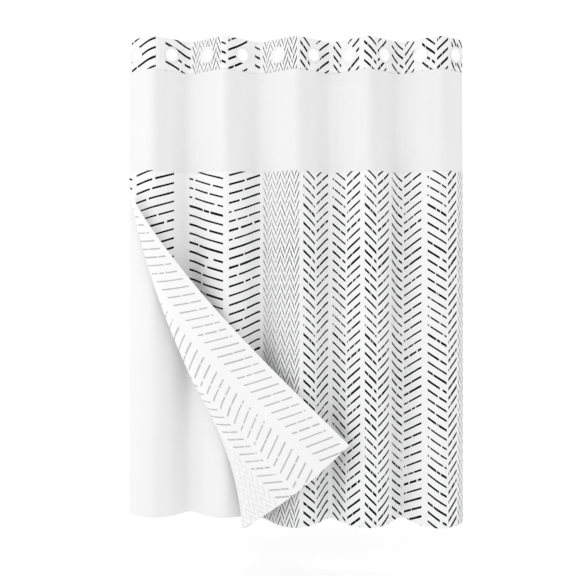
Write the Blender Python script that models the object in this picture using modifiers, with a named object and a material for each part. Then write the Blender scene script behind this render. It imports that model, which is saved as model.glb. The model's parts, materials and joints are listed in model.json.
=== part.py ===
"""Hookless shower curtain with a snap-in liner, gathered on the line of its rod.

Metres, +Z up. The origin is on the rod's centre line at mid-width, +X runs along the rod to the
right of someone who looks at the printed face, and that person stands on the -Y side.

Each ring sits in the middle of one pleat. The pleats turn about upright folds, as an accordion
does, so every pleat is its own stack of header strip, window strip, printed strip, ring and snap.
"""

import math

import bpy
from mathutils import Matrix, Vector

# Rings and pleats
RING_COUNT = 10
RING_PITCH = 0.138  # ring to ring along the rod
FOLD_DEPTH = 0.045  # from the rod's line to a fold, forward or back
SIDE_EDGE = 0.0035  # cloth from the end ring's hole to the side edge
FOLD_GAP = 0.0025  # from a fold's axis to each strip beside it

# Rings
RING_BORE = 0.046
RING_RIM = 0.0065
RING_THICKNESS = 0.0035
RING_EDGE = 0.0009
RING_SLIT = 0.0016
RING_SLIT_ANGLE = math.radians(-60)
RING_DROP = 0.010  # from the rod's centre line down to the ring's centre
HOLE_CLEARANCE = 0.0010

# Cloth, from the top edge down
HEADER_ABOVE_ROD = 0.0515
HEADER_BELOW_RING = 0.034
WINDOW_HEIGHT = 0.390
PRINT_HEIGHT = 1.365
SEAM_GAP = 0.0003
HEADER_THICKNESS = 0.0012
WINDOW_THICKNESS = 0.0006
PRINT_THICKNESS = 0.0008

# Snaps, on the header's back
SNAP_ABOVE_SEAM = 0.0165
SNAP_RADIUS = 0.0060
SNAP_BORE = 0.0022
SNAP_HEIGHT = 0.0020
SNAP_EDGE = 0.0005
TOUCH_GAP = 0.0003
STUD_RADIUS = 0.0040
STUD_HEIGHT = 0.0012

# Liner
BAND_HEIGHT = 0.040
BAND_THICKNESS = 0.0010
LINER_THICKNESS = 0.0006
LINER_SHORTER = 0.028  # how far the liner ends above the curtain's hem

# Corner folded over to the front
CORNER_BELOW_WINDOW = 0.0625  # from the window to the fold's upper end, up the side edge
CORNER_ALONG_HEM = 0.5217  # flat cloth from the corner to the fold's lower end
CORNER_STAND_OFF = 0.0360  # from the forward folds to the flap
CORNER_THICKNESS = 0.0008
CORNER_INSET = 0.0040  # from the fold's line to the flap's long edge

# Roundness
HOLE_SIDES = 28
RING_STEPS = 32
SNAP_STEPS = 16

PLEAT_ANGLE = math.atan2(2 * FOLD_DEPTH, RING_PITCH)
PLEAT_LENGTH = math.hypot(2 * FOLD_DEPTH, RING_PITCH)
RING_OUTER = RING_BORE / 2 + RING_RIM
SIDE_MARGIN = RING_OUTER + HOLE_CLEARANCE + SIDE_EDGE
HALF_WIDTH = (RING_COUNT - 1) / 2 * RING_PITCH + SIDE_MARGIN * math.cos(PLEAT_ANGLE)
HEADER_TOP = HEADER_ABOVE_ROD
HEADER_BOTTOM = -RING_DROP - RING_OUTER - HEADER_BELOW_RING
WINDOW_BOTTOM = HEADER_BOTTOM - WINDOW_HEIGHT
HEM = WINDOW_BOTTOM - PRINT_HEIGHT
SNAP_Z = HEADER_BOTTOM + SNAP_ABOVE_SEAM
SOCKET_BACK = HEADER_THICKNESS / 2 + TOUCH_GAP + SNAP_HEIGHT
BAND_FRONT = SOCKET_BACK + TOUCH_GAP + STUD_HEIGHT
LINER_BACK = (BAND_FRONT + BAND_THICKNESS / 2) / math.cos(PLEAT_ANGLE)
BAND_TOP = SNAP_Z + BAND_HEIGHT / 4
BAND_BOTTOM = BAND_TOP - BAND_HEIGHT
CORNER_UP_SIDE = PRINT_HEIGHT - CORNER_BELOW_WINDOW
CORNER_Y = -FOLD_DEPTH - CORNER_STAND_OFF


def collection(name):
    made = bpy.data.collections.new(name)
    bpy.context.scene.collection.children.link(made)
    return made


def material(name, colour, roughness, metallic=0.0):
    made = bpy.data.materials.new(name)
    made.use_nodes = True
    shader = made.node_tree.nodes["Principled BSDF"]
    shader.inputs["Base Color"].default_value = (*colour, 1.0)
    shader.inputs["Roughness"].default_value = roughness
    shader.inputs["Metallic"].default_value = metallic
    return made


def ring_x(k):
    """Place of ring k along the rod, counted from 1 at the left."""
    return (k - (RING_COUNT + 1) / 2) * RING_PITCH


def pleat_turn(k):
    """Odd pleats run forward to the right, and even ones back."""
    return PLEAT_ANGLE if k % 2 == 0 else -PLEAT_ANGLE


def fold_point(k):
    """The upright fold between pleats k and k + 1."""
    depth = FOLD_DEPTH if k % 2 == 0 else -FOLD_DEPTH
    return Vector((ring_x(k) + RING_PITCH / 2, depth, 0.0))


def pleat_ends(k):
    """How far pleat k's cloth runs to each side of its ring, along the cloth."""
    inner = PLEAT_LENGTH / 2 - FOLD_GAP
    left = SIDE_MARGIN if k == 1 else inner
    right = SIDE_MARGIN if k == RING_COUNT else inner
    return -left, right


def curve_plate(name, outlines, thickness):
    """A flat plate in its own XY plane, from closed outlines: the first outside, the rest holes."""
    curve = bpy.data.curves.new(name, "CURVE")
    curve.dimensions = "2D"
    curve.fill_mode = "BOTH"
    curve.extrude = thickness / 2
    for outline in outlines:
        spline = curve.splines.new("POLY")
        spline.points.add(len(outline) - 1)
        for point, (a, b) in zip(spline.points, outline):
            point.co = (a, b, 0.0, 1.0)
        spline.use_cyclic_u = True
    return bpy.data.objects.new(name, curve)


def mesh_of(source, name):
    """The evaluated shape of a curve or of an object with modifiers, welded, in world space."""
    made = bpy.data.meshes.new_from_object(
        source.evaluated_get(bpy.context.evaluated_depsgraph_get())
    )
    made.name = name
    made.transform(source.matrix_world)
    return made


def turned(name, profile, steps, home):
    """A shape turned about its own Z, from a closed profile whose outer side runs down."""
    made = bpy.data.meshes.new(name)
    count = len(profile)
    made.from_pydata(
        [(radius, 0.0, height) for radius, height in profile],
        [(i, (i + 1) % count) for i in range(count)],
        [],
    )
    thing = bpy.data.objects.new(name, made)
    home.objects.link(thing)
    screw = thing.modifiers.new("turn", "SCREW")
    screw.steps = screw.render_steps = steps
    screw.use_merge_vertices = True
    screw.merge_threshold = 0.00001
    screw.use_smooth_shade = False
    return thing


def rounded_section(inner, outer, height, edge):
    """Half section of a ring with its four edges taken off."""
    half = height / 2
    return [
        (outer - edge, half),
        (outer, half - edge),
        (outer, edge - half),
        (outer - edge, -half),
        (inner + edge, -half),
        (inner, edge - half),
        (inner, half - edge),
        (inner + edge, half),
    ]


def ring_mesh(cutters):
    """The open ring: a turned rim with a slit, so that it can be sprung over the rod."""
    profile = rounded_section(RING_BORE / 2, RING_OUTER, RING_THICKNESS, RING_EDGE)
    rim = turned("ring_blank", profile, RING_STEPS, cutters)
    middle = RING_BORE / 2 + RING_RIM / 2
    bpy.ops.mesh.primitive_cube_add(size=1)
    knife = bpy.context.object
    knife.name = "ring_slit_cutter"
    knife.data.transform(Matrix.Diagonal((2 * RING_RIM, RING_SLIT, 2 * RING_THICKNESS, 1)))
    knife.data.transform(Matrix.Translation((middle, 0, 0)))
    knife.data.transform(Matrix.Rotation(RING_SLIT_ANGLE, 4, "Z"))
    hide_cutter(knife, cutters)
    cut = rim.modifiers.new("slit", "BOOLEAN")
    cut.operation = "DIFFERENCE"
    cut.object = knife
    bpy.context.view_layer.update()
    made = mesh_of(rim, "ring")
    hide_cutter(rim, cutters)
    return smooth(made)


def socket_mesh(cutters):
    """The flat snap socket with its hole."""
    profile = rounded_section(SNAP_BORE, SNAP_RADIUS, SNAP_HEIGHT, SNAP_EDGE)
    blank = turned("snap_socket_blank", profile, SNAP_STEPS, cutters)
    bpy.context.view_layer.update()
    made = mesh_of(blank, "snap_socket")
    hide_cutter(blank, cutters)
    return smooth(made)


def smooth(mesh):
    mesh.shade_smooth()
    mesh.set_sharp_from_angle(angle=math.radians(30))
    return mesh


def hide_cutter(thing, cutters):
    for owner in list(thing.users_collection):
        owner.objects.unlink(thing)
    cutters.objects.link(thing)
    thing.hide_render = True
    thing.display_type = "WIRE"


def stand_in_pleat(thing, pivot, k, back=0.0, height=0.0):
    """Stands a flat shape upright in pleat k, `back` metres behind its middle plane."""
    turn = pleat_turn(k)
    spot = Vector((ring_x(k), 0.0, height))
    spot += Matrix.Rotation(turn, 3, "Z") @ Vector((0.0, back, 0.0))
    thing.parent = pivot
    thing.location = spot - pivot.location
    thing.rotation_euler = (math.pi / 2, 0.0, turn)


def add(thing, look, home):
    thing.data.materials.append(look)
    home.objects.link(thing)
    return thing


def rectangle(left, right, bottom, top):
    return [(left, bottom), (right, bottom), (right, top), (left, top)]


def hole_outline():
    radius = RING_OUTER + HOLE_CLEARANCE
    turns = [2 * math.pi * i / HOLE_SIDES for i in range(HOLE_SIDES)]
    return [(radius * math.cos(t), radius * math.sin(t) - RING_DROP) for t in turns]


def fold_line():
    """Top and bottom of the line along which the corner is folded, as (x, z)."""
    top = Vector((-HALF_WIDTH, HEM + CORNER_UP_SIDE))
    bottom = Vector((-HALF_WIDTH + CORNER_ALONG_HEM * math.cos(PLEAT_ANGLE), HEM))
    return top, bottom


def fold_line_z(x):
    top, bottom = fold_line()
    return top.y + (x - top.x) * (bottom.y - top.y) / (bottom.x - top.x)


def print_outline(k):
    """Pleat k's printed cloth along the cloth, without what is folded over at the corner."""
    left, right = pleat_ends(k)
    top = WINDOW_BOTTOM - SEAM_GAP
    along = math.cos(PLEAT_ANGLE)
    z_left = fold_line_z(ring_x(k) + left * along)
    z_right = fold_line_z(ring_x(k) + right * along)
    outline = [(right, top), (left, top)]
    if z_left <= HEM:
        return outline + [(left, HEM), (right, HEM)]
    outline.append((left, z_left))
    if z_right >= HEM:
        return outline + [(right, z_right)]
    meets_hem = left + (right - left) * (z_left - HEM) / (z_left - z_right)
    return outline + [(meets_hem, HEM), (right, HEM)]


def corner_outline():
    """The folded corner as a triangle whose edges keep the lengths of the flat cloth."""
    top, bottom = fold_line()
    length = (bottom - top).length
    along = (bottom - top) / length
    across = Vector((-along.y, along.x))
    run = (CORNER_UP_SIDE**2 - CORNER_ALONG_HEM**2 + length**2) / (2 * length)
    tip = top + along * run + across * math.sqrt(CORNER_UP_SIDE**2 - run**2)
    inset = across * CORNER_INSET
    return [top + inset, bottom + inset, tip]


def zigzag(thickness):
    """Plan of a sheet that follows every pleat, closed round its two faces."""
    end = SIDE_MARGIN * math.sin(PLEAT_ANGLE)
    last = end if RING_COUNT % 2 == 0 else -end
    middle = [(-HALF_WIDTH, end)]
    middle += [tuple(fold_point(k).xy) for k in range(1, RING_COUNT)]
    middle.append((HALF_WIDTH, last))
    shift = thickness / 2 / math.cos(PLEAT_ANGLE)
    front = [(x, y - shift) for x, y in middle]
    back = [(x, y + shift) for x, y in reversed(middle)]
    return front + back


def pleat(k, home, looks, shared):
    """Pleat k with its pivot: the end ring's axis for the first, and the fold for the others."""
    pivot = bpy.data.objects.new(f"pleat_{k:02d}_pivot", None)
    pivot.location = Vector((ring_x(1), 0.0, 0.0)) if k == 1 else fold_point(k - 1)
    home.objects.link(pivot)
    left, right = pleat_ends(k)
    strips = (
        (
            "header_strip",
            [rectangle(left, right, HEADER_BOTTOM, HEADER_TOP), hole_outline()],
            HEADER_THICKNESS,
        ),
        (
            "window_strip",
            [rectangle(left, right, WINDOW_BOTTOM, HEADER_BOTTOM - SEAM_GAP)],
            WINDOW_THICKNESS,
        ),
        ("printed_strip", [print_outline(k)], PRINT_THICKNESS),
    )
    for name, outlines, thickness in strips:
        strip = curve_plate(f"{name}_{k:02d}", outlines, thickness)
        stand_in_pleat(add(strip, looks[name], home), pivot, k)
    ring = bpy.data.objects.new(f"ring_{k:02d}", shared["ring"])
    home.objects.link(ring)
    stand_in_pleat(ring, pivot, k, height=-RING_DROP)
    socket = bpy.data.objects.new(f"snap_socket_{k:02d}", shared["snap_socket"])
    home.objects.link(socket)
    middle = SOCKET_BACK - SNAP_HEIGHT / 2
    stand_in_pleat(socket, pivot, k, back=middle, height=SNAP_Z)


def liner_sheet(name, top, bottom, thickness, look, home):
    sheet = curve_plate(name, [zigzag(thickness)], top - bottom)
    sheet.location = (0.0, LINER_BACK, (top + bottom) / 2)
    return add(sheet, look, home)


def liner_band(home, cutters, look):
    """The liner's top band, with a stud for each socket joined to it."""
    blank = liner_sheet("band_blank", BAND_TOP, BAND_BOTTOM, BAND_THICKNESS, look, home)
    bpy.context.view_layer.update()
    band = bpy.data.objects.new("liner_band", mesh_of(blank, "liner_band"))
    home.objects.link(band)
    bpy.data.objects.remove(blank)
    length = STUD_HEIGHT + BAND_THICKNESS / 2
    for k in range(1, RING_COUNT + 1):
        bpy.ops.mesh.primitive_cylinder_add(
            vertices=SNAP_STEPS, radius=STUD_RADIUS, depth=length
        )
        stud = bpy.context.object
        stud.name = f"stud_tool_{k:02d}"
        turn = Matrix.Rotation(pleat_turn(k), 4, "Z")
        stud.rotation_euler = (math.pi / 2, 0.0, pleat_turn(k))
        reach = BAND_FRONT + BAND_THICKNESS / 2 - length / 2
        stud.location = Vector((ring_x(k), 0.0, SNAP_Z)) + turn @ Vector((0.0, reach, 0.0))
        hide_cutter(stud, cutters)
        join = band.modifiers.new(stud.name, "BOOLEAN")
        join.operation = "UNION"
        join.object = stud
    return band


def main():
    for thing in list(bpy.data.objects):
        bpy.data.objects.remove(thing, do_unlink=True)
    home = collection("shower_curtain")
    cutters = collection("cutters")
    looks = {
        "header_strip": material("header_cloth", (0.86, 0.87, 0.87), 0.80),
        "window_strip": material("window_cloth", (0.92, 0.93, 0.94), 0.70),
        "printed_strip": material("printed_cloth", (0.80, 0.81, 0.81), 0.82),
        "ring": material("ring_plastic", (0.90, 0.90, 0.90), 0.35),
        "snap": material("snap_plastic", (0.85, 0.86, 0.87), 0.40),
        "liner": material("liner_cloth", (0.90, 0.91, 0.92), 0.65),
        "band": material("liner_band_cloth", (0.88, 0.89, 0.90), 0.75),
        "corner": material("corner_cloth", (0.84, 0.85, 0.86), 0.82),
    }
    shared = {"ring": ring_mesh(cutters), "snap_socket": socket_mesh(cutters)}
    shared["ring"].materials.append(looks["ring"])
    shared["snap_socket"].materials.append(looks["snap"])
    for k in range(1, RING_COUNT + 1):
        pleat(k, home, looks, shared)
    liner_band(home, cutters, looks["band"])
    liner_top = BAND_BOTTOM - SEAM_GAP
    liner_sheet("liner", liner_top, HEM + LINER_SHORTER, LINER_THICKNESS, looks["liner"], home)
    corner = curve_plate("corner_flap", [corner_outline()], CORNER_THICKNESS)
    add(corner, looks["corner"], home)
    corner.location = (0.0, CORNER_Y, 0.0)
    corner.rotation_euler = (math.pi / 2, 0.0, 0.0)


main()
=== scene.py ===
"""Hookless shower curtain: cloth, print, rings, snaps, liner and stage, round the frame."""

import functools
import json
import math

import bmesh
import bpy
import numpy as np
from bpy.props import FloatProperty, FloatVectorProperty, IntProperty, PointerProperty
from mathutils import Matrix, Vector, noise

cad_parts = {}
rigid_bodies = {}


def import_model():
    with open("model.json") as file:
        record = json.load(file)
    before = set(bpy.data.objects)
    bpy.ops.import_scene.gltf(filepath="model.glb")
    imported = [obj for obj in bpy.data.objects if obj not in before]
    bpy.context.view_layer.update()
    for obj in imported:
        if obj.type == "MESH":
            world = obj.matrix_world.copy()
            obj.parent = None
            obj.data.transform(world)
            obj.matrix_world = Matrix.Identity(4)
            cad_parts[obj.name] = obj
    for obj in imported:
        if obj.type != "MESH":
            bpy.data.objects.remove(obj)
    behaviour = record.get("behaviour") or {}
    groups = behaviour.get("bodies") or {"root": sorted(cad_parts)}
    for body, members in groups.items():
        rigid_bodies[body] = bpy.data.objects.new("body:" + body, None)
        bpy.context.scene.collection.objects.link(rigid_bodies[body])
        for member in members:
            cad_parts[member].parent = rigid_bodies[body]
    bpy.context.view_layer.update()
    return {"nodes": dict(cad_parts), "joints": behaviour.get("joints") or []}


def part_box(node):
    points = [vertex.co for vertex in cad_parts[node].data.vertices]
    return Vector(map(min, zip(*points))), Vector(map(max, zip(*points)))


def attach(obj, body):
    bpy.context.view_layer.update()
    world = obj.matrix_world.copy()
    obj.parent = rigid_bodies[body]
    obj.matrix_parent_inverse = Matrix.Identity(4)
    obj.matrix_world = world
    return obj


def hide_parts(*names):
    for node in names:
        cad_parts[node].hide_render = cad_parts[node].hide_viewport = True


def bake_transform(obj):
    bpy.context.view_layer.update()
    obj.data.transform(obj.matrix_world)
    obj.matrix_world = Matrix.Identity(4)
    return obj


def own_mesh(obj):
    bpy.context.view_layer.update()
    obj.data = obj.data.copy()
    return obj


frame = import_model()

bl_info = {
    "name": "Hookless Shower Curtain",
    "version": (1, 0, 0),
    "blender": (4, 5, 0),
    "location": "View3D > Sidebar > Curtain",
    "description": "Pleated shower curtain with a print, a snap-in liner and a folded corner",
    "category": "Object",
}


# ---------------------------------------------------------------- places read from the frame


def box(node):
    low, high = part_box(node)
    return Vector(low), Vector(high)


def centre(node):
    low, high = box(node)
    return (low + high) / 2


def corner_of(node, score):
    """The vertex of a frame node that scores highest."""
    return max((v.co.copy() for v in frame["nodes"][node].data.vertices), key=score)


JOINT = {j["child"]: j for j in frame["joints"]}
RINGS = sorted(n for n in frame["nodes"] if n.startswith("ring_"))
COUNT = len(RINGS)
RING_X = [centre(n).x for n in RINGS]
PITCH = (RING_X[-1] - RING_X[0]) / (COUNT - 1)
RING_Z = centre(RINGS[0]).z
RING_RADIUS = (box(RINGS[0])[1].z - box(RINGS[0])[0].z) / 2
FOLDS = [Vector(JOINT[f"pleat_{k:02d}"]["pos_m"]) for k in range(2, COUNT + 1)]
DEPTH = abs(FOLDS[0].y)
TURN = math.atan2(2 * DEPTH, PITCH)
LEFT = box("header_strip_01")[0].x
RIGHT = box(f"header_strip_{COUNT:02d}")[1].x
TOP = box("header_strip_01")[1].z
HEADER_END = box("header_strip_01")[0].z
WINDOW_END = box("window_strip_01")[0].z
HEM = box(f"printed_strip_{COUNT:02d}")[0].z
LINER_TOP = box("liner_band")[1].z
BAND_END = box("liner_band")[0].z
LINER_END = box("liner")[0].z
LINER_BACK = centre("liner_band").y - (FOLDS[0].y + FOLDS[1].y) / 2
SNAP_Z = centre("snap_socket_01").z
CORNER_TOP = corner_of("corner_flap", lambda v: v.z)
CORNER_LOW = corner_of("corner_flap", lambda v: -v.z)
CORNER_TIP = corner_of("corner_flap", lambda v: v.x)
FLAP_Y = centre("corner_flap").y
FREE_FROM = CORNER_TIP.x + PITCH / 4


# ---------------------------------------------------------------- chosen sizes and shares

SEAM_GAP = 0.0003  # between two strips of cloth, one above the other
CLOTH_CELL = 0.006  # widest face of plain and printed cloth
HEADER_CELL = 0.005  # widest and highest face of the header
WINDOW_ROW = 0.012  # height of a face
LINER_ROW = 0.014
BAND_ROW = 0.005
PANEL_ROWS = 100  # faces from hem or fold to top
CORNER_ROWS = 90
LENGTH_STEPS = 1300  # steps in which the cloth's length is measured across the curtain
CLOTH_CREASE = math.radians(40)
PLASTIC_CREASE = math.radians(35)

# How the curtain's folds differ from a plain wave.
SIDEWAYS_DRIFT = 0.010  # at the hem
TOP_DEPTH = 0.96  # at the header, times the frame's depth
UNEVEN_DEPTH = 0.10  # share by which folds differ at the hem
HELD_FLAT = 1.12  # ring radii over which a ring holds the cloth flat
LET_GO = 0.55  # ring radii over which that hold fades
LINER_SHALLOWER = 0.22  # share by which its folds are less deep
LINER_STANDS_OFF = 0.006
HEM_SWAY = 0.006  # how much lower the hem hangs at a forward fold than at its middle
LINER_HEM_SWAY = 0.004

# Where the print starts, and its climb on the corner as a share of the panel's.
PANEL_PRINT_FROM = 0.012
CORNER_PRINT_FROM = 0.006
CORNER_CLIMB = 0.85

# A printed stroke: shares of its run, then of its thickness.
BARE_ENDS = 0.025
GAP_FROM, GAP_STRETCH = 0.12, 0.76  # where gaps may start, and how far on they may be
GAP_HALF, GAP_WIDER = 0.014, 0.022
THINNEST, ROW_VARIES, STROKE_SWELLS = 0.72, 0.34, 0.30
HAIR = 0.0001  # a half thickness that tells one kind of stroke from the next

# The line that the corner is folded along, and the cloth on both sides of it.
BOW_TURN = 0.58  # share of the line above which it bows left, and below which right
BOW_LEFT = 0.026
BOW_RIGHT = 0.038
BOW_FULLNESS = 0.8
FOLD_LAP = 0.002  # the fold stands this far in front of the pleats' crests
NEAR_FOLD = 0.07  # the panel comes forward to the fold over this distance
BELOW_FOLD_TOP = 0.15  # and does so fully this far below the fold's top
CORNER_SAG = 0.004  # the fold's lower end hangs this far below the hem
SIDE_BULGE = Vector((-0.76, -0.65))  # way in x and z that a free edge bows
SIDE_BULGE_DEPTH = 0.049
LOWER_BULGE = Vector((0.4, -0.9))
LOWER_BULGE_DEPTH = 0.018
CORNER_REACH = 0.49  # from the fold to the corner's tip
ROLL_RADIUS = 0.018
CORNER_FORWARD = 0.007  # in front of the frame's flap
CORNER_WAVE = 0.0015  # what it takes on of the folds behind it
CORNER_RIPPLE = 0.003
CORNER_TIP_LEFT = 0.997  # share of the corner's width, so that its last column isn't a line

# Rings and snaps: outlines are (distance from the axis, distance along it).
RING_WIDTH = 0.0065
RING_SEAT = 0.0006  # ring groove and hole edge, each this far from the ring's radius
RING_HALF = 0.00175
LIP_INSIDE = 0.0010
GROOVE_HALF = 0.0009
RING_ROUNDING = 0.0007
RING_SLIT = 0.0016
SLIT_AT = math.radians(-60)
SNAP_STEPS = 40
SNAP_ROUNDING = 0.0004
SOCKET_OUTLINE = [
    (0.0022, -0.001), (0.0022, 0.001), (0.0046, 0.001), (0.006, 0.0002), (0.006, -0.001)
]
STUD_OUTLINE = [(0.0, -0.0010), (0.0, 0.0010), (0.004, 0.0010), (0.004, -0.0010)]
STUD_BEHIND = 0.0024

# Seams: distances from an edge to its row of stitches.
THREAD_RADIUS = 0.00032
STITCH_HALF = 0.36  # half a stitch's length, as a share of the stitch pitch
THREAD_OFF = 0.0001
TOP_SEAM = 0.004
HEADER_SEAM = 0.003
SIDE_SEAM = 0.010
HEM_SEAM = 0.020
SEAM_POINTS = 30
SEAM_FROM_FOLD = 0.012
SHORTEST_SEAM = 0.01

# Stage.
FLOOR_REACH = 9
WORLD_STRENGTH = 1.04
PAPER = (0.97, 0.97, 0.97)
CAMERA_LEFT = 0.031
CAMERA_LOW = 0.027
LAMPS = (("key", (-3.2, -2.4, 0.5), 2.2, 26.0), ("rear", (2.6, 3.4, 0.2), 2.5, 12.0))


# ---------------------------------------------------------------- settings


def length_setting(name, text, value):
    return FloatProperty(name=name, description=text, default=value, unit="LENGTH")


def number_setting(name, text, value):
    return FloatProperty(name=name, description=text, default=value)


def grey_setting(name, text, value):
    return FloatVectorProperty(name=name, description=text, subtype="COLOR", default=(value,) * 3)


class CURTAIN_PG_cloth(bpy.types.PropertyGroup):
    header_thickness: length_setting("Header thickness", "Two layers of cloth", 0.0012)
    window_thickness: length_setting("Window thickness", "Plain cloth", 0.0006)
    print_thickness: length_setting("Printed cloth thickness", "One layer", 0.0008)
    liner_thickness: length_setting("Liner thickness", "One layer", 0.0006)
    band_thickness: length_setting("Liner band thickness", "Two layers", 0.0010)
    crest: number_setting("Crest roundness", "Share of the third harmonic in a fold", 0.085)
    hem_depth: number_setting("Fold depth at the hem", "Times the frame's depth", 1.05)
    crest_width: number_setting("Crest width", "How much wider forward folds are, low down", 0.20)
    free_side: number_setting("Free side depth", "Extra fold depth at the lower right", 0.14)
    ripple: length_setting("Ripple", "Height of the soft ripples", 0.0022)
    colour: grey_setting("Cloth", "Bleached cloth", 0.845)
    window_colour: grey_setting("Window cloth", "Plain strip", 0.79)
    liner_colour: grey_setting("Liner", "Plain liner", 0.80)


class CURTAIN_PG_print(bpy.types.PropertyGroup):
    row_pitch: length_setting("Row pitch", "Stroke to stroke, upwards", 0.0357)
    rise: length_setting("Rise", "Height that one stroke climbs", 0.0490)
    bold: length_setting("Bold stroke", "Thickness", 0.0076)
    medium: length_setting("Medium stroke", "Thickness", 0.0072)
    fine: length_setting("Fine stroke", "Thickness", 0.0036)
    ink: grey_setting("Ink", "Printed strokes", 0.004)
    fine_ink: grey_setting("Fine ink", "Thin strokes", 0.09)
    reverse_ink: grey_setting("Ink from behind", "Print seen through the cloth", 0.47)
    reverse_weight: number_setting("Weight from behind", "Of a stroke, times its front's", 0.74)


class CURTAIN_PG_hardware(bpy.types.PropertyGroup):
    lip: length_setting("Ring lip", "How far the lip grips the cloth", 0.0026)
    steps: IntProperty(name="Ring steps", description="Segments round a ring", default=96)
    ring_colour: grey_setting("Ring", "Moulded plastic", 0.80)
    thread_colour: grey_setting("Thread", "Sewing thread", 0.72)
    stitch_pitch: length_setting("Stitch pitch", "Stitch to stitch", 0.0036)


class CURTAIN_PG_stage(bpy.types.PropertyGroup):
    distance: length_setting("Camera distance", "From the rod", 3.45)
    lens: number_setting("Lens", "Focal length in mm", 55.5)
    floor_drop: length_setting("Floor drop", "From the hem to the floor", 0.16)


def settings(name):
    return getattr(bpy.context.scene, "curtain_" + name)


# ---------------------------------------------------------------- shader maths


class Value:
    """A socket that adds Math nodes to its tree when it is used in an expression."""

    def __init__(self, graph, socket):
        self.graph = graph
        self.socket = socket

    def _math(self, operation, *others):
        return self.graph.math(operation, self, *others)

    def __add__(self, other):
        return self._math("ADD", other)

    def __radd__(self, other):
        return self.graph.math("ADD", other, self)

    def __sub__(self, other):
        return self._math("SUBTRACT", other)

    def __rsub__(self, other):
        return self.graph.math("SUBTRACT", other, self)

    def __mul__(self, other):
        return self._math("MULTIPLY", other)

    def __rmul__(self, other):
        return self.graph.math("MULTIPLY", other, self)

    def __truediv__(self, other):
        return self._math("DIVIDE", other)

    def __rtruediv__(self, other):
        return self.graph.math("DIVIDE", other, self)

    def __lt__(self, other):
        return self._math("LESS_THAN", other)

    def __gt__(self, other):
        return self._math("GREATER_THAN", other)


class Graph:
    """One material's node tree, with a Principled shader at its end."""

    def __init__(self, name, roughness, colour=(0.8, 0.8, 0.8), **constants):
        self.material = bpy.data.materials.new(name)
        self.material.use_nodes = True
        self.tree = self.material.node_tree
        self.shader = self.tree.nodes["Principled BSDF"]
        self.shader.inputs["Base Color"].default_value = (*colour, 1.0)
        self.shader.inputs["Roughness"].default_value = roughness
        for socket, value in constants.items():
            self.shader.inputs[socket.replace("_", " ")].default_value = value

    def node(self, kind, outlet=0, settings=None, **inputs):
        """A node of that type, its settings first, then the values or links of its sockets."""
        made = self.tree.nodes.new(kind)
        for key, value in (settings or {}).items():
            setattr(made, key, value)
        for key, value in inputs.items():
            socket = made.inputs[int(key[1:])] if key[1:].isdigit() else made.inputs[key]
            if isinstance(value, Value):
                self.tree.links.new(value.socket, socket)
            else:
                socket.default_value = value
        return Value(self, made.outputs[outlet])

    def math(self, operation, *values):
        inputs = {f"_{i}": value for i, value in enumerate(values)}
        return self.node("ShaderNodeMath", settings={"operation": operation}, **inputs)

    def attribute(self, name, outlet="Fac"):
        return self.node("ShaderNodeAttribute", outlet, {"attribute_name": name})

    def parts(self, vector):
        made = self.tree.nodes.new("ShaderNodeSeparateXYZ")
        self.tree.links.new(vector.socket, made.inputs[0])
        return [Value(self, socket) for socket in made.outputs]

    def point(self, x, y, z=0.0):
        return self.node("ShaderNodeCombineXYZ", X=x, Y=y, Z=z)

    def uv(self, name):
        """The two sockets of a mesh's map."""
        return self.parts(self.node("ShaderNodeUVMap", settings={"uv_map": name}))[:2]

    def plane_noise(self, x, y, **inputs):
        plane = {"noise_dimensions": "2D"}
        place = self.point(x, y)
        return self.node("ShaderNodeTexNoise", 0, plane, Vector=place, Scale=1.0, **inputs)

    def mix(self, amount, first, second):
        """Colours mixed; a plain tuple is a colour."""
        made = self.tree.nodes.new("ShaderNodeMix")
        made.data_type = "RGBA"
        for index, value in ((0, amount), (6, first), (7, second)):
            if isinstance(value, Value):
                self.tree.links.new(value.socket, made.inputs[index])
            else:
                made.inputs[index].default_value = (*value, 1.0)
        return Value(self, made.outputs[2])

    def feed(self, socket, value):
        self.tree.links.new(value.socket, self.shader.inputs[socket])

    def bump(self, height, strength, distance):
        self.feed(
            "Normal",
            self.node("ShaderNodeBump", Strength=strength, Distance=distance, Height=height),
        )


def weave(graph, thread):
    """Height of a plain weave from the cloth's own map, one thread over and one under."""
    u, v = graph.uv("cloth")
    across = graph.math("SINE", u * (math.pi / thread))
    along = graph.math("SINE", v * (math.pi / thread))
    slub = graph.plane_noise(u * 90.0, v * 900.0, Detail=2.0)
    return across * along + slub * 1.2


def crumple(graph):
    """Soft creases of folded cloth, a few centimetres across: heights for the bump, and also
    painted shade in the cloth's colour.
    """
    u, v = graph.uv("cloth")
    return graph.plane_noise(u * 9.0, v * 2.2, Detail=3.0, Roughness=0.55)


def plain_cloth(name, colour, thread, roughness):
    graph = Graph(name, roughness, colour, Sheen_Weight=0.25, Sheen_Roughness=0.5)
    graph.shader.inputs["Specular IOR Level"].default_value = 0.25
    shade = crumple(graph)
    # Painted shade: a little darker in the crease valleys that the same noise bumps, a little
    # lighter on the ridges.
    light = tuple(min(1.0, c * 1.015) for c in colour)
    dark = tuple(c * 0.965 for c in colour)
    graph.feed("Base Color", graph.mix(shade, dark, light))
    graph.bump(weave(graph, thread) * 0.12 + shade * 4.0, 0.35, 0.0006)
    return graph.material


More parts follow.
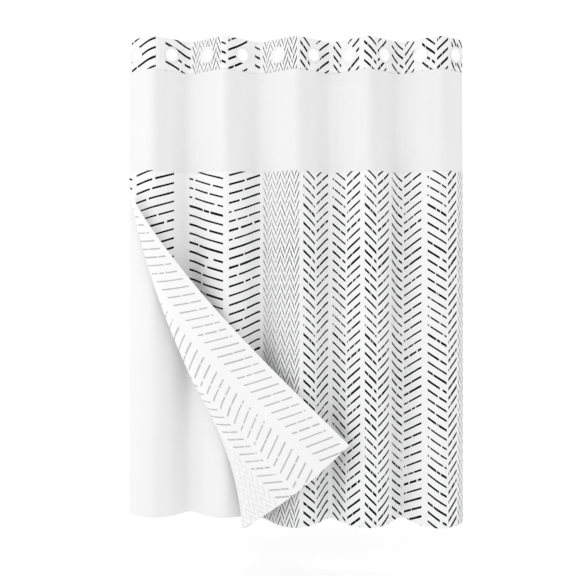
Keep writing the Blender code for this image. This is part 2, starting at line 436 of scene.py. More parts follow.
def stroke_mask(graph, pitch, weight):
    """Broken strokes: a column's faces carry its lean, run and half thickness of stroke."""
    x, v = graph.uv("stroke")
    lean = graph.attribute("lean")
    run = graph.attribute("run")
    half = graph.attribute("half")
    share = x / run
    climb = v - lean * share
    row = graph.math("FLOOR", climb / pitch + 0.5)
    off = graph.math("ABSOLUTE", climb - row * pitch)
    slope = lean / run
    flat = 1.0 / graph.math("SQRT", slope * slope + 1.0)
    # Every fourteenth row is broken alike, and falling strokes otherwise than rising ones.
    seed = graph.math("MODULO", row + 1400.0, 14.0) + graph.math("SIGN", lean) * 31.0
    chance = graph.node(
        "ShaderNodeTexWhiteNoise", 1, {"noise_dimensions": "1D"}, W=seed * 1.37 + 5.3
    )
    one, two, three = graph.parts(chance)
    swell = graph.plane_noise(share * 4.0, row * 7.7, Detail=1.0)
    thickness = half * weight * (THINNEST + one * ROW_VARIES + swell * STROKE_SWELLS)
    drawn = off * flat < thickness
    drawn = drawn * (share > BARE_ENDS) * (share < 1 - BARE_ENDS)
    # Up to three gaps in a stroke: where each may be, and whether it is there.
    reach = GAP_HALF + two * GAP_WIDER
    for place, want in ((one, two > 0.38), (two * 0.55 + 0.38, three > 0.55), (three, one > 0.74)):
        gap = graph.math("ABSOLUTE", share - (place * GAP_STRETCH + GAP_FROM)) < reach
        drawn = drawn * (1.0 - gap * want)
    return drawn * (half > HAIR), half


def printed_cloth(name, colour, reverse):
    look = settings("print")
    graph = Graph(name, 0.85, colour, Sheen_Weight=0.04, Sheen_Roughness=0.5)
    graph.shader.inputs["Specular IOR Level"].default_value = 0.1
    shade = crumple(graph)
    # Painted shade: the ground is a little darker in the crease valleys that the same noise bumps,
    # a little lighter on the ridges.
    ground = graph.mix(shade, tuple(c * 0.97 for c in colour), tuple(c * 1.01 for c in colour))
    mask, half = stroke_mask(graph, look.row_pitch, look.reverse_weight if reverse else 1.0)
    if reverse:
        faint = tuple((i + c) / 2 for i, c in zip(look.reverse_ink, colour))
        ink = graph.mix(half < look.fine / 2 + HAIR, tuple(look.reverse_ink), faint)
    else:
        ink = graph.mix(half < look.fine / 2 + HAIR, tuple(look.ink), tuple(look.fine_ink))
    graph.feed("Base Color", graph.mix(mask, ground, ink))
    graph.bump(weave(graph, 0.00042) * 0.14 + shade * 4.0, 0.35, 0.0006)
    return graph.material


def plastic(name, colour, roughness):
    graph = Graph(name, roughness, colour, Coat_Weight=0.15, Coat_Roughness=0.2)
    place = graph.node("ShaderNodeTexCoord", "Object")
    grain = graph.node("ShaderNodeTexNoise", Vector=place, Scale=900.0, Detail=2.0)
    cloud = graph.node("ShaderNodeTexNoise", Vector=place, Scale=60.0, Detail=2.0)
    graph.feed("Base Color", graph.mix(cloud, tuple(c * 0.97 for c in colour), tuple(colour)))
    graph.feed("Roughness", roughness - 0.05 + cloud * 0.1)
    graph.bump(grain, 0.12, 0.0002)
    return graph.material


def thread_look(name, colour):
    graph = Graph(name, 0.6, colour, Sheen_Weight=0.3)
    place = graph.node("ShaderNodeTexCoord", "Object")
    twist = graph.node(
        "ShaderNodeTexWave", Vector=place, Scale=1400.0, Distortion=1.0, Detail=1.0
    )
    # Painted shade: the thread is darker in the grooves of its twist, where the same wave bumps it
    # down.
    graph.feed("Base Color", graph.mix(twist, tuple(c * 0.9 for c in colour), tuple(colour)))
    graph.bump(twist, 0.3, 0.0001)
    return graph.material


def material(name, maker, *values):
    """The material of that name, made once."""
    name += "_look"
    return bpy.data.materials.get(name) or maker(name, *values)


# ---------------------------------------------------------------- the curtain's shape


def smooth(share):
    share = min(1.0, max(0.0, share))
    return share * share * (3 - 2 * share)


def drop(z):
    """0 at the header's lower edge and above, 1 at the hem."""
    return min(1.0, max(0.0, (HEADER_END - z) / (HEADER_END - HEM)))


def wave(x, z):
    """Depth of the folded cloth at x, forward negative."""
    look = settings("cloth")
    low = drop(z)
    drift = SIDEWAYS_DRIFT * low * noise.noise(Vector((x * 2.1, 3.7, z * 0.9)))
    angle = math.pi * (x + drift - FOLDS[0].x) / PITCH
    depth = DEPTH * (TOP_DEPTH + (look.hem_depth - TOP_DEPTH) * low)
    depth *= 1 + UNEVEN_DEPTH * low * noise.noise(Vector((x * 2.9, 1.3, 0.4)))
    depth *= 1 + look.free_side * smooth(low * 2) * smooth((x - FREE_FROM) / PITCH)
    y = -depth * (math.cos(angle) + look.crest * math.cos(3 * angle)) / (1 + look.crest)
    y -= depth * look.crest_width * smooth(low * 2.5) * (1 - math.cos(2 * angle))
    ripple = look.ripple * low * noise.noise(Vector((x * 14.0, 9.1, z * 1.6)))
    ripple += look.ripple * 0.5 * noise.noise(Vector((x * 30.0, 2.2, z * 2.3))) * smooth(low * 4)
    return y + ripple


def near_ring(x, z):
    """The nearest ring's number from 0, and 1 on its plane fading to 0 away from it."""
    k = min(COUNT - 1, max(0, round((x - RING_X[0]) / PITCH)))
    far = math.hypot((x - RING_X[k]) / math.cos(TURN), z - RING_Z)
    return k, 1 - smooth((far - HELD_FLAT * RING_RADIUS) / (LET_GO * RING_RADIUS))


def ring_turn(k):
    return -TURN if k % 2 == 0 else TURN


def front_y(x, z):
    """The curtain's middle surface: it is flat where a ring holds it."""
    k, held = near_ring(x, z)
    y = wave(x, z)
    if held > 0:
        y += held * ((x - RING_X[k]) * math.tan(ring_turn(k)) - y)
    return y


def back_y(x, z):
    """The liner, behind the curtain, with shallower folds lower down."""
    low = smooth(drop(z) * 4)
    return front_y(x, z) * (1 - LINER_SHALLOWER * low) + LINER_BACK + LINER_STANDS_OFF * low


@functools.cache
def cloth_lengths():
    """Places from left to right, and the length of cloth up to each, low on the panel."""
    level = (WINDOW_END + HEM) / 2
    places = [LEFT + (RIGHT - LEFT) * i / LENGTH_STEPS for i in range(LENGTH_STEPS + 1)]
    depths = [wave(x, level) for x in places]
    steps = np.hypot(np.diff(places), np.diff(depths))
    return places, np.concatenate([[0.0], np.cumsum(steps)])


def along(x):
    """Length of cloth from the left edge to x; past that edge it goes on at a pleat's turn."""
    return float(np.interp(x, *cloth_lengths())) + min(0.0, x - LEFT) / math.cos(TURN)


# ---------------------------------------------------------------- the print's layout


def chevrons(widths):
    """Falling and rising columns by turns, each a (width, gap after it) in millimetres."""
    made = []
    for i, (width, gap) in enumerate(widths):
        made += [("medium_fall" if i % 2 == 0 else "medium_rise", width), ("plain", gap)]
    return made


def herringbone(count, width):
    return [("fine_fall" if i % 2 == 0 else "fine_rise", width) for i in range(count)]


PANEL_COLUMNS = (
    [("bold_fall", 18, 130), ("plain", 12), ("bold_rise", 149), ("plain", 47), ("bold_fall", 147)]
    + [("plain", 14), ("bold_rise", 124), ("plain", 9)]
    + herringbone(8, 17.5)
    + [("plain", 14)]
    + chevrons([(47, 5), (49, 15), (50, 4), (50, 15), (47, 4), (47, 12), (47, 4), (62, 18)])
    + chevrons([(74, 4), (37, 4)])
    + herringbone(2, 13)
)
HEADER_COLUMNS = (
    [("plain", 8), ("bold_rise", 105), ("plain", 27), ("bold_fall", 97), ("plain", 4)]
    + herringbone(7, 16.6)
    + [("plain", 3), ("bold_fall", 19, 78), ("plain", 4), ("bold_rise", 74), ("plain", 27)]
    + [("bold_fall", 23, 74), ("plain", 8)]
    + herringbone(8, 16.5)
    + [("plain", 11)]
    + chevrons([(39, 23), (54, 15), (31, 23), (43, 15), (50, 4), (37, 21), (50, 4), (35, 25)])
    + chevrons([(47, 4), (47, 13), (23, 1)])
    + [("medium_fall", 25)]
)
CORNER_COLUMNS = (
    [("plain", 18), ("bold_rise", 107), ("plain", 38), ("bold_fall", 108), ("plain", 12)]
    + [("bold_rise", 69), ("plain", 6)]
    + herringbone(9, 20)
)
PLAIN = [("plain", 1000)]


def spread(columns, start, width):
    """(kind, start, from, to) for each column, with the whole layout fitted to that width.

    A third number in a column is the part of its strokes that is cut off at its left."""
    total = sum(column[1] for column in columns)
    made, at = [], start
    for kind, size, *cut in columns:
        end = at + width * size / total
        made.append((kind, at - sum(cut) / 1000, at, end))
        at = end
    return made


def stroke_of(kind, run):
    """(lean, run, half thickness) of a column's strokes."""
    look = settings("print")
    if kind == "plain":
        return 0.0, run, 0.0
    weight, way = kind.split("_")
    half = {"bold": look.bold, "medium": look.medium, "fine": look.fine}[weight] / 2
    return (look.rise if way == "rise" else -look.rise), run, half


# ---------------------------------------------------------------- meshes


def put(name, data):
    """A new object that holds that data, in the scene."""
    thing = bpy.data.objects.new(name, data)
    bpy.context.scene.collection.objects.link(thing)
    return thing


def finish_mesh(name, mesh, materials):
    thing = put(name, mesh)
    for look in materials:
        mesh.materials.append(look)
    return thing


def columns_between(layout, low, high, cell):
    """Breaks of a layout between two places: (kind, column start, run, [places])."""
    made = []
    for kind, start, shown, end in layout:
        a, b = max(shown, low), min(end, high)
        if b - a < 1e-6:
            continue
        count = max(1, math.ceil((b - a) / cell))
        places = [a + (b - a) * i / count for i in range(count + 1)]
        made.append((kind, start, end - start, places))
    return made


def sheet_mesh(name, layout, low, high, rows, place, cell=CLOTH_CELL, height=lambda v: v,
               length=lambda x: x, climb=1.0):
    """A grid whose columns follow the print. rows(x) gives the heights of one column of points."""
    blocks = columns_between(layout, low, high, cell)
    places = [blocks[0][3][0]]
    owner = []
    for block in blocks:
        for x in block[3][1:]:
            places.append(x)
            owner.append(block)
    heights = [rows(x) for x in places]
    count = len(heights[0])
    points = [place(x, z) for x, column in zip(places, heights) for z in column]
    faces, corners, lean, run, half = [], [], [], [], []
    for i, (kind, start, width, _) in enumerate(owner):
        origin = length(start)
        numbers = stroke_of(kind, length(start + width) - origin)
        for j in range(count - 1):
            face = (i * count + j, (i + 1) * count + j, (i + 1) * count + j + 1, i * count + j + 1)
            faces.append(face)
            lean.append(numbers[0] * climb)
            run.append(numbers[1])
            half.append(numbers[2])
            for index in face:
                x, z = places[index // count], heights[index // count][index % count]
                corners.append((length(x) - origin, height(z), length(x), z))
    mesh = bpy.data.meshes.new(name)
    mesh.from_pydata(points, [], faces)
    corners = np.array(corners, np.float32)
    for uv_name, columns in (("stroke", corners[:, :2]), ("cloth", corners[:, 2:])):
        layer = mesh.uv_layers.new(name=uv_name)
        layer.uv.foreach_set("vector", np.ascontiguousarray(columns).ravel())
    for key, values in (("lean", lean), ("run", run), ("half", half)):
        made = mesh.attributes.new(key, "FLOAT", "FACE")
        made.data.foreach_set("value", np.array(values, np.float32))
    mesh.shade_smooth()
    return mesh


def thicken(thing, thickness, back_material=0, punches=()):
    """Gives a surface its thickness, half to each side, and cuts holes through it."""
    solid = thing.modifiers.new("thickness", "SOLIDIFY")
    solid.thickness = thickness
    solid.offset = 0.0
    solid.use_even_offset = True
    solid.material_offset = back_material
    solid.material_offset_rim = back_material
    for tool in punches:
        cut = thing.modifiers.new(tool.name, "BOOLEAN")
        cut.operation = "DIFFERENCE"
        cut.object = tool
    apply_modifiers(thing)
    thing.data.set_sharp_from_angle(angle=CLOTH_CREASE)


def apply_modifiers(thing):
    """Gives the object its evaluated shape as a plain mesh."""
    graph = bpy.context.evaluated_depsgraph_get()
    made = bpy.data.meshes.new_from_object(thing.evaluated_get(graph))
    thing.modifiers.clear()
    thing.data = made


def span(k):
    """Left and right ends of the cloth across fold k, from ring to ring, counted from 0."""
    low = LEFT if k == 0 else RING_X[k]
    high = RIGHT if k == COUNT - 2 else RING_X[k + 1]
    return low, high


def follow_fold(thing):
    """Bakes the object's transform into its mesh."""
    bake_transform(thing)


def even_rows(low, high, step):
    count = max(2, round((high - low) / step))
    return [low + (high - low) * i / count for i in range(count + 1)]


def strips(name, k):
    """The frame's strips that the cloth across fold k stands for: the last stands for two."""
    numbers = [k + 1, COUNT] if k == COUNT - 2 else [k + 1]
    return [f"{name}_strip_{n:02d}" for n in numbers]


def clear_span(k):
    """How wide the flat cloth of one span is."""
    low, high = span(k)
    return (high - low) / math.cos(TURN)


# ---------------------------------------------------------------- header, window, panel, liner


def build_header():
    look = settings("cloth")
    front = material("header_print", printed_cloth, tuple(look.colour), False)
    back = material("header_reverse", printed_cloth, tuple(look.colour), True)
    layout = spread(HEADER_COLUMNS, LEFT, RIGHT - LEFT)
    rows = even_rows(HEADER_END, TOP, HEADER_CELL)
    for k in range(COUNT - 1):
        low, high = span(k)
        mesh = sheet_mesh(
            f"header_{k + 1:02d}", layout, low, high, lambda x: rows,
            lambda x, z: (x, front_y(x, z), z), HEADER_CELL, lambda z: z - HEADER_END, along,
        )
        piece = finish_mesh(mesh.name, mesh, [front, back])
        thicken(piece, look.header_thickness, 1, [punch(ring) for ring in (k, k + 1)])
        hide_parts(*strips("header", k))
        follow_fold(piece)
    for tool in [o for o in bpy.data.objects if o.name.startswith("punch_")]:
        bpy.data.objects.remove(tool)


def punch(k):
    """The tool that cuts the hole for ring k, made once."""
    name = f"punch_{k:02d}"
    tool = bpy.data.objects.get(name)
    if tool is None:
        mesh = bpy.data.meshes.new(name)
        shape = bmesh.new()
        bmesh.ops.create_cone(
            shape, cap_ends=True, segments=72, radius1=RING_RADIUS + RING_SEAT,
            radius2=RING_RADIUS + RING_SEAT, depth=0.02,
        )
        bmesh.ops.rotate(shape, verts=shape.verts, matrix=Matrix.Rotation(math.pi / 2, 3, "X"))
        bmesh.ops.rotate(shape, verts=shape.verts, matrix=Matrix.Rotation(ring_turn(k), 3, "Z"))
        bmesh.ops.translate(shape, verts=shape.verts, vec=(RING_X[k], 0, RING_Z))
        shape.to_mesh(mesh)
        shape.free()
        tool = put(name, mesh)
        tool.hide_render = True
    return tool


def build_window():
    look = settings("cloth")
    plain = material("window_cloth", plain_cloth, tuple(look.window_colour), 0.00036, 0.75)
    layout = spread(PLAIN, LEFT, RIGHT - LEFT)
    rows = even_rows(WINDOW_END, HEADER_END - SEAM_GAP, WINDOW_ROW)
    for k in range(COUNT - 1):
        low, high = span(k)
        mesh = sheet_mesh(
            f"window_{k + 1:02d}", layout, low, high, lambda x: rows,
            lambda x, z: (x, front_y(x, z), z),
        )
        piece = finish_mesh(mesh.name, mesh, [plain])
        thicken(piece, look.window_thickness)
        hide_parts(*strips("window", k))
        follow_fold(piece)


def bow(s):
    """How far the fold's line wanders to the right of straight, from its top 0 to the hem 1."""
    if s < BOW_TURN:
        return -BOW_LEFT * math.sin(math.pi * s / BOW_TURN)
    below = math.pi * (s - BOW_TURN) / (1 - BOW_TURN)
    return BOW_RIGHT * max(0.0, math.sin(below)) ** BOW_FULLNESS


def fold_x(z):
    """Where the corner's fold line is at height z."""
    s = (CORNER_TOP.z - z) / (CORNER_TOP.z - HEM)
    return CORNER_TOP.x + (CORNER_LOW.x - CORNER_TOP.x) * s + bow(min(1.0, max(0.0, s)))


def fold_z(x):
    """The height at which the fold line passes x, found by halving."""
    low, high = HEM, CORNER_TOP.z
    if x >= fold_x(HEM):
        return HEM
    for _ in range(30):
        middle = (low + high) / 2
        if fold_x(middle) > x:
            low = middle
        else:
            high = middle
    return (low + high) / 2


def panel_place(x, z):
    """The printed panel: beside the folded corner it comes forward to meet the fold."""
    y = front_y(x, z)
    if z < CORNER_TOP.z:
        near = 1 - smooth((x - fold_x(z)) / NEAR_FOLD)
        below = smooth((CORNER_TOP.z - z) / BELOW_FOLD_TOP)
        y += near * below * (-DEPTH - FOLD_LAP - y)
    z += HEM_SWAY * smooth(drop(z) * 3 - 2) * (y / DEPTH)
    return x, y, z


def liner_place(x, z):
    y = back_y(x, z)
    return x, y, z + LINER_HEM_SWAY * smooth(drop(z) * 3 - 2) * y / DEPTH


def build_panel():
    look = settings("cloth")
    front = material("panel_print", printed_cloth, tuple(look.colour), False)
    back = material("panel_reverse", printed_cloth, tuple(look.colour), True)
    layout = spread(PANEL_COLUMNS, LEFT, RIGHT - LEFT)
    top = WINDOW_END - SEAM_GAP
    for k in range(COUNT - 1):
        low, high = span(k)
        mesh = sheet_mesh(
            f"panel_{k + 1:02d}", layout, low, high,
            lambda x: [
                fold_z(x) + (top - fold_z(x)) * i / PANEL_ROWS for i in range(PANEL_ROWS + 1)
            ],
            panel_place, height=lambda z: z - HEM + PANEL_PRINT_FROM, length=along,
        )
        piece = finish_mesh(mesh.name, mesh, [front, back])
        thicken(piece, look.print_thickness, 1)
        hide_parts(*strips("printed", k))
        follow_fold(piece)
        size = (clear_span(k), top - fold_z(high))
        kept = sum(top - fold_z(low + (high - low) * (i + 0.5) / 20) for i in range(20)) / 20
        size[0] * kept


def build_liner():
    look = settings("cloth")
    plain = material("liner_cloth", plain_cloth, tuple(look.liner_colour), 0.0003, 0.6)
    band = material("liner_band_cloth", plain_cloth, tuple(look.colour), 0.0007, 0.8)
    layout = spread(PLAIN, LEFT, RIGHT - LEFT)
    parts = (
        ("liner", plain, BAND_END - SEAM_GAP, LINER_END, look.liner_thickness, LINER_ROW),
        ("liner_band", band, LINER_TOP, BAND_END, look.band_thickness, BAND_ROW),
    )
    for name, finish, top, bottom, thickness, step in parts:
        rows = even_rows(bottom, top, step)
        for k in range(COUNT - 1):
            low, high = span(k)
            piece_name = f"{name}_{k + 1:02d}"
            mesh = sheet_mesh(piece_name, layout, low, high, lambda x: rows, liner_place)
            piece = finish_mesh(mesh.name, mesh, [finish])
            thicken(piece, thickness)
            if k == 0:
                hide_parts(name)
            follow_fold(piece)
            above = "snap_socket" if name == "liner_band" else "liner_band"
            top - bottom


# ---------------------------------------------------------------- the folded corner


def corner_place(across, up, width, length):
    """A point of the folded corner, from its distances from the side edge and from the hem."""
    top = Vector((fold_x(CORNER_TOP.z), CORNER_TOP.z))
    low = Vector((fold_x(HEM), HEM - CORNER_SAG))
    tip = Vector((CORNER_TIP.x, CORNER_TIP.z))
    w_low = min(1.0, across / width)
    w_top = min(1.0 - w_low, up / length)
    w_tip = 1.0 - w_low - w_top
    spot = top * w_top + low * w_low + tip * w_tip
    s = w_low / max(1e-6, w_top + w_low)
    spot.x += bow(s) * (1 - w_tip) ** 3
    s = w_tip / max(1e-6, w_top + w_tip)
    spot += SIDE_BULGE * SIDE_BULGE_DEPTH * math.sin(math.pi * s**0.75) * (1 - w_low)
    s = w_tip / max(1e-6, w_low + w_tip)
    spot += LOWER_BULGE * LOWER_BULGE_DEPTH * math.sin(math.pi * s) * (1 - w_top) ** 4
    away = w_tip * CORNER_REACH
    roll = 1 - math.exp(-away / ROLL_RADIUS)
    y = -DEPTH - FOLD_LAP + (FLAP_Y - CORNER_FORWARD + DEPTH + FOLD_LAP) * roll
    fold = math.cos(math.pi * (spot.x - FOLDS[0].x) / PITCH)
    y += -CORNER_WAVE * fold * smooth(away / 0.10)
    ripple = noise.noise(Vector((across * 5.0, 4.4, up * 2.4)))
    y += CORNER_RIPPLE * ripple * smooth(away / 0.05)
    return spot.x, y, spot.y


def build_corner():
    look = settings("cloth")
    width = math.hypot(CORNER_LOW.x - CORNER_TIP.x, CORNER_LOW.z - CORNER_TIP.z)
    length = math.hypot(CORNER_TOP.x - CORNER_TIP.x, CORNER_TOP.z - CORNER_TIP.z)
    shown = material("corner_reverse", printed_cloth, tuple(look.colour), True)
    hidden = material("corner_print", printed_cloth, tuple(look.colour), False)
    layout = spread(CORNER_COLUMNS, 0.0, width)
    mesh = sheet_mesh(
        "folded_corner", layout, 0.0, width * CORNER_TIP_LEFT,
        lambda a: [length * (1 - a / width) * i / CORNER_ROWS for i in range(CORNER_ROWS + 1)],
        lambda a, b: corner_place(a, b, width, length),
        height=lambda v: v + CORNER_PRINT_FROM, climb=CORNER_CLIMB,
    )
    mesh.flip_normals()
    piece = finish_mesh(mesh.name, mesh, [shown, hidden])
    thicken(piece, look.print_thickness, 1)
    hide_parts("corner_flap")
    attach(piece, "corner_flap")
    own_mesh(piece)


# ---------------------------------------------------------------- rings and snaps


def turned(name, profile, steps, gap=0.0, at=0.0):
    """A closed section turned about Y, whole or with a gap of that angle left open."""
    count = len(profile)
    whole = gap == 0.0
    turns = [at + gap / 2 + (2 * math.pi - gap) * i / steps for i in range(steps + (not whole))]
    points = [
        (r * math.cos(t), y, r * math.sin(t)) for t in turns for r, y in profile
    ]
    faces = []
    for i in range(steps):
        a, b = i * count, ((i + 1) % len(turns)) * count
        for j in range(count):
            n = (j + 1) % count
            faces.append((a + j, a + n, b + n, b + j))
    if not whole:
        faces.append(tuple(range(count)))
        faces.append(tuple(reversed(range((len(turns) - 1) * count, len(turns) * count))))
    mesh = bpy.data.meshes.new(name)
    mesh.from_pydata(points, [], faces)
    shape = bmesh.new()
    shape.from_mesh(mesh)
    bmesh.ops.recalc_face_normals(shape, faces=shape.faces)
    shape.to_mesh(mesh)
    shape.free()
    mesh.shade_smooth()
    mesh.set_sharp_from_angle(angle=PLASTIC_CREASE)
    return mesh


def rounded(outline, radius, steps=4):
    """An outline of (r, y) with every corner rounded by the same radius."""
    made = []
    count = len(outline)
    for i, point in enumerate(outline):
        here = Vector(point)
        before, after = Vector(outline[i - 1]) - here, Vector(outline[(i + 1) % count]) - here
        reach = min(radius, before.length * 0.45, after.length * 0.45)
        a, b = here + before.normalized() * reach, here + after.normalized() * reach
        for step in range(steps + 1):
            t = step / steps
            made.append(tuple(a * (1 - t) ** 2 + here * 2 * t * (1 - t) + b * t * t))
    return made


def place_in_pleat(mesh, k, back, z):
    """Turns a shape made about Y into the plane of pleat k, `back` metres behind it."""
    turn = Matrix.Rotation(ring_turn(k), 4, "Z")
    mesh.transform(Matrix.Translation((RING_X[k], 0, z)) @ turn @ Matrix.Translation((0, back, 0)))
    return mesh


def build_rings():
    look = settings("hardware")
    finish = material("ring_plastic", plastic, tuple(look.ring_colour), 0.36)
    bore = RING_RADIUS - RING_WIDTH
    outer = RING_RADIUS + look.lip
    groove = RING_RADIUS - RING_SEAT
    profile = rounded(
        [
            (bore, -RING_HALF), (bore, RING_HALF), (outer, RING_HALF), (outer, LIP_INSIDE),
            (groove, GROOVE_HALF), (groove, -GROOVE_HALF), (outer, -LIP_INSIDE),
            (outer, -RING_HALF),
        ],
        RING_ROUNDING,
    )
    for k, node in enumerate(RINGS):
        name = node + "_moulded"
        shape = turned(name, profile, look.steps, gap=RING_SLIT / RING_RADIUS, at=SLIT_AT)
        mesh = place_in_pleat(shape, k, 0.0, RING_Z)
        piece = finish_mesh(name, mesh, [finish])
        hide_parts(node)
        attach(piece, f"pleat_{k + 1:02d}")


def build_snaps():
    look = settings("hardware")
    finish = material("snap_plastic", plastic, tuple(look.ring_colour), 0.42)
    socket = rounded(SOCKET_OUTLINE, SNAP_ROUNDING)
    stud = rounded(STUD_OUTLINE, SNAP_ROUNDING)
    for k in range(COUNT):
        node = f"snap_socket_{k + 1:02d}"
        back = (centre(node) - Vector((RING_X[k], 0, SNAP_Z))).length
        shapes = (("socket", socket, back, node), ("stud", stud, back + STUD_BEHIND, None))
        for part, profile, place, replaced in shapes:
            name = f"snap_{part}_{k + 1:02d}"
            mesh = place_in_pleat(turned(name, profile, SNAP_STEPS), k, place, SNAP_Z)
            piece = finish_mesh(name, mesh, [finish])
            if replaced:
                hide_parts(replaced)
            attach(piece, f"pleat_{k + 1:02d}")


# ---------------------------------------------------------------- stitching


def stitch_tree():
    """Capsules laid along each line of a wire, a stitch to each step."""
    tree = bpy.data.node_groups.new("stitches", "GeometryNodeTree")
    face = tree.interface
    face.new_socket("Lines", in_out="INPUT", socket_type="NodeSocketGeometry")
    pitch = face.new_socket("Pitch", in_out="INPUT", socket_type="NodeSocketFloat")
    size = face.new_socket("Thread", in_out="INPUT", socket_type="NodeSocketFloat")
    finish = face.new_socket("Finish", in_out="INPUT", socket_type="NodeSocketMaterial")
    face.new_socket("Stitches", in_out="OUTPUT", socket_type="NodeSocketGeometry")
    nodes = tree.nodes
    entry, leave = nodes.new("NodeGroupInput"), nodes.new("NodeGroupOutput")
    curve = nodes.new("GeometryNodeMeshToCurve")
    resample = nodes.new("GeometryNodeResampleCurve")
    resample.mode = "LENGTH"
    tangent = nodes.new("GeometryNodeInputTangent")
    align = nodes.new("FunctionNodeAlignRotationToVector")
    align.axis = "X"
    ball = nodes.new("GeometryNodeMeshUVSphere")
    for inlet, value in (("Segments", 6), ("Rings", 4), ("Radius", 1.0)):
        ball.inputs[inlet].default_value = value
    scale = nodes.new("ShaderNodeCombineXYZ")
    half = nodes.new("ShaderNodeMath")
    half.operation = "MULTIPLY"
    half.inputs[1].default_value = STITCH_HALF
    place = nodes.new("GeometryNodeInstanceOnPoints")
    real = nodes.new("GeometryNodeRealizeInstances")
    paint = nodes.new("GeometryNodeSetMaterial")
    for source, outlet, target, inlet in (
        (entry, "Lines", curve, "Mesh"),
        (curve, "Curve", resample, "Curve"),
        (entry, "Pitch", resample, "Length"),
        (resample, "Curve", place, "Points"),
        (tangent, "Tangent", align, "Vector"),
        (ball, "Mesh", place, "Instance"),
        (align, "Rotation", place, "Rotation"),
        (entry, "Pitch", half, 0),
        (half, 0, scale, "X"),
        (entry, "Thread", scale, "Y"),
        (entry, "Thread", scale, "Z"),
        (scale, 0, place, "Scale"),
        (place, "Instances", real, "Geometry"),
        (real, "Geometry", paint, "Geometry"),
        (entry, "Finish", paint, "Material"),
        (paint, "Geometry", leave, "Stitches"),
    ):
        tree.links.new(source.outputs[outlet], target.inputs[inlet])
    sockets = {"Pitch": pitch, "Thread": size, "Finish": finish}
    tree["sockets"] = {name: socket.identifier for name, socket in sockets.items()}
    return tree


def stitched(name, lines, finish):
    """Stitches along lines of points, as one plain mesh."""
    look = settings("hardware")
    points, edges = [], []
    for line in lines:
        start = len(points)
        points += line
        edges += [(start + i, start + i + 1) for i in range(len(line) - 1)]
    mesh = bpy.data.meshes.new(name)
    mesh.from_pydata(points, edges, [])
    piece = put(name, mesh)
    tree = bpy.data.node_groups.get("stitches") or stitch_tree()
    modifier = piece.modifiers.new("stitches", "NODES")
    modifier.node_group = tree
    sockets = tree["sockets"]
    modifier[sockets["Pitch"]] = look.stitch_pitch
    modifier[sockets["Thread"]] = THREAD_RADIUS
    modifier[sockets["Finish"]] = finish
    apply_modifiers(piece)
    piece.data.shade_smooth()
    return piece


def seam_line(low, high, height, off):
    """Points on the curtain's front at one height, `off` metres in front of its middle."""
    made = []
    for i in range(SEAM_POINTS + 1):
        x = low + (high - low) * i / SEAM_POINTS
        spot = Vector(panel_place(x, height))
        slope = (front_y(x + 0.001, height) - front_y(x - 0.001, height)) / 0.002
        spot += Vector((slope, -1.0, 0.0)).normalized() * off
        made.append(tuple(spot))
    return made


def build_stitching():
    look = settings("hardware")
    cloth = settings("cloth")
    finish = material("thread", thread_look, tuple(look.thread_colour))
    for k in range(COUNT - 1):
        low, high = span(k)
        lines = []
        for height, thickness in (
            (TOP - TOP_SEAM, cloth.header_thickness),
            (HEADER_END + HEADER_SEAM, cloth.header_thickness),
            (WINDOW_END - TOP_SEAM, cloth.print_thickness),
        ):
            lines.append(seam_line(low, high, height, thickness / 2 + THREAD_OFF))
        off = cloth.print_thickness / 2 + THREAD_OFF
        hem = HEM + HEM_SEAM
        start = max(low, fold_x(hem) + SEAM_FROM_FOLD)
        if start < high - SHORTEST_SEAM:
            lines.append(seam_line(start, high, hem, off))
        for x in [low + SIDE_SEAM] * (k == 0) + [high - SIDE_SEAM] * (k == COUNT - 2):
            heights = even_rows(fold_z(x) + HEM_SEAM, HEADER_END - TOP_SEAM, 0.02)
            places = [panel_place(x, z) for z in heights]
            lines.append([(px, py - off, pz) for px, py, pz in places])
        piece = stitched(f"stitching_{k + 1:02d}", lines, finish)
        follow_fold(piece)


# ---------------------------------------------------------------- stage


def build_stage():
    look = settings("stage")
    floor_z = HEM - look.floor_drop
    paper = Graph("stage_paper", 0.9, PAPER).material
    corners = ((-1, -1), (1, -1), (1, 1), (-1, 1))
    points = [(x * FLOOR_REACH, y * FLOOR_REACH, floor_z) for x, y in corners]
    mesh = bpy.data.meshes.new("stage_floor")
    mesh.from_pydata(points, [], [(0, 1, 2, 3)])
    floor = finish_mesh("stage_floor", mesh, [paper])
    bpy.context.scene.view_settings.view_transform = "Standard"
    world = bpy.data.worlds.new("studio")
    bpy.context.scene.world = world
    world.use_nodes = True
    background = world.node_tree.nodes["Background"]
    background.inputs["Color"].default_value = (1, 1, 1, 1)
    background.inputs["Strength"].default_value = WORLD_STRENGTH
    middle = Vector((0.0, 0.0, (TOP + HEM) / 2))
    for name, place, size, power in LAMPS:
        lamp = bpy.data.lights.new(name, "AREA")
        lamp.size = size
        lamp.energy = power
        thing = put(name, lamp)
        thing.location = place
        aim = middle - Vector(place)
        thing.rotation_euler = aim.to_track_quat("-Z", "Y").to_euler()
    camera = bpy.data.cameras.new("camera")
    camera.lens = look.lens
    camera.sensor_width = 36.0
    thing = put("camera", camera)
    thing.location = (-CAMERA_LEFT, -look.distance, (TOP + HEM) / 2 - CAMERA_LOW)
    thing.rotation_euler = (math.pi / 2, 0, 0)
    bpy.context.scene.camera = thing


# ---------------------------------------------------------------- add-on


class CURTAIN_OT_stage(bpy.types.Operator):
    """Floor, light and camera"""

    bl_idname = "curtain.stage"
    bl_label = "Stage"

    def execute(self, context):
        build_stage()
        return {"FINISHED"}


class CURTAIN_OT_header(bpy.types.Operator):
    """Printed header strip with its ring holes"""

    bl_idname = "curtain.header"
    bl_label = "Header"

    def execute(self, context):
        build_header()
        return {"FINISHED"}


class CURTAIN_OT_window(bpy.types.Operator):
    """Plain strip under the header"""

    bl_idname = "curtain.window"
    bl_label = "Window"

    def execute(self, context):
        build_window()
        return {"FINISHED"}


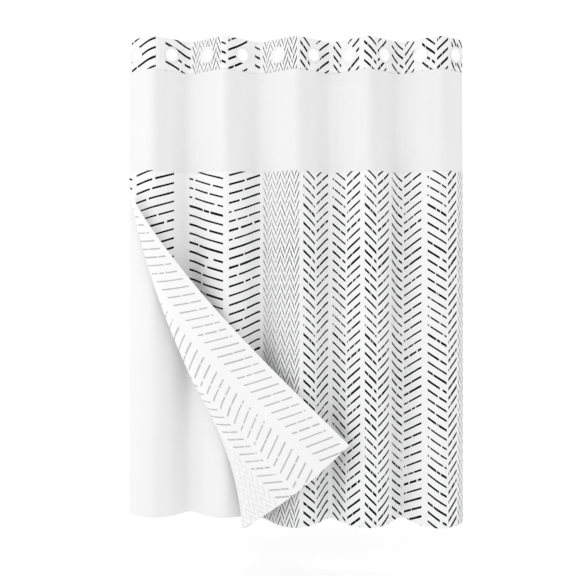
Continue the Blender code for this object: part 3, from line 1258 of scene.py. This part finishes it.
class CURTAIN_OT_panel(bpy.types.Operator):
    """Printed lower cloth"""

    bl_idname = "curtain.panel"
    bl_label = "Printed panel"

    def execute(self, context):
        build_panel()
        return {"FINISHED"}


class CURTAIN_OT_liner(bpy.types.Operator):
    """Liner and the band that it hangs by"""

    bl_idname = "curtain.liner"
    bl_label = "Liner"

    def execute(self, context):
        build_liner()
        return {"FINISHED"}


class CURTAIN_OT_corner(bpy.types.Operator):
    """Corner thrown over to the front"""

    bl_idname = "curtain.corner"
    bl_label = "Folded corner"

    def execute(self, context):
        build_corner()
        return {"FINISHED"}


class CURTAIN_OT_rings(bpy.types.Operator):
    """Split rings moulded round the holes"""

    bl_idname = "curtain.rings"
    bl_label = "Rings"

    def execute(self, context):
        build_rings()
        return {"FINISHED"}


class CURTAIN_OT_snaps(bpy.types.Operator):
    """Sockets on the header's back and studs on the liner's band"""

    bl_idname = "curtain.snaps"
    bl_label = "Snaps"

    def execute(self, context):
        build_snaps()
        return {"FINISHED"}


class CURTAIN_OT_stitching(bpy.types.Operator):
    """Seams and hems"""

    bl_idname = "curtain.stitching"
    bl_label = "Stitching"

    def execute(self, context):
        build_stitching()
        return {"FINISHED"}


OPERATORS = [
    CURTAIN_OT_stage,
    CURTAIN_OT_header,
    CURTAIN_OT_window,
    CURTAIN_OT_panel,
    CURTAIN_OT_liner,
    CURTAIN_OT_corner,
    CURTAIN_OT_rings,
    CURTAIN_OT_snaps,
    CURTAIN_OT_stitching,
]


class CURTAIN_PT_panel(bpy.types.Panel):
    """Lists the steps that build the curtain"""

    bl_idname = "CURTAIN_PT_panel"
    bl_label = "Shower curtain"
    bl_space_type = "VIEW_3D"
    bl_region_type = "UI"
    bl_category = "Curtain"

    def draw(self, context):
        for item in OPERATORS:
            self.layout.operator(item.bl_idname)


GROUPS = {
    "cloth": CURTAIN_PG_cloth,
    "print": CURTAIN_PG_print,
    "hardware": CURTAIN_PG_hardware,
    "stage": CURTAIN_PG_stage,
}


def register():
    for group in [*GROUPS.values(), *OPERATORS, CURTAIN_PT_panel]:
        bpy.utils.register_class(group)
    for name, group in GROUPS.items():
        setattr(bpy.types.Scene, "curtain_" + name, PointerProperty(type=group))


def unregister():
    for name in GROUPS:
        delattr(bpy.types.Scene, "curtain_" + name)
    for group in reversed([*GROUPS.values(), *OPERATORS, CURTAIN_PT_panel]):
        bpy.utils.unregister_class(group)


def main():
    register()
    for item in OPERATORS:
        getattr(bpy.ops.curtain, item.bl_idname.split(".")[1])()


if __name__ == "__main__":
    main()
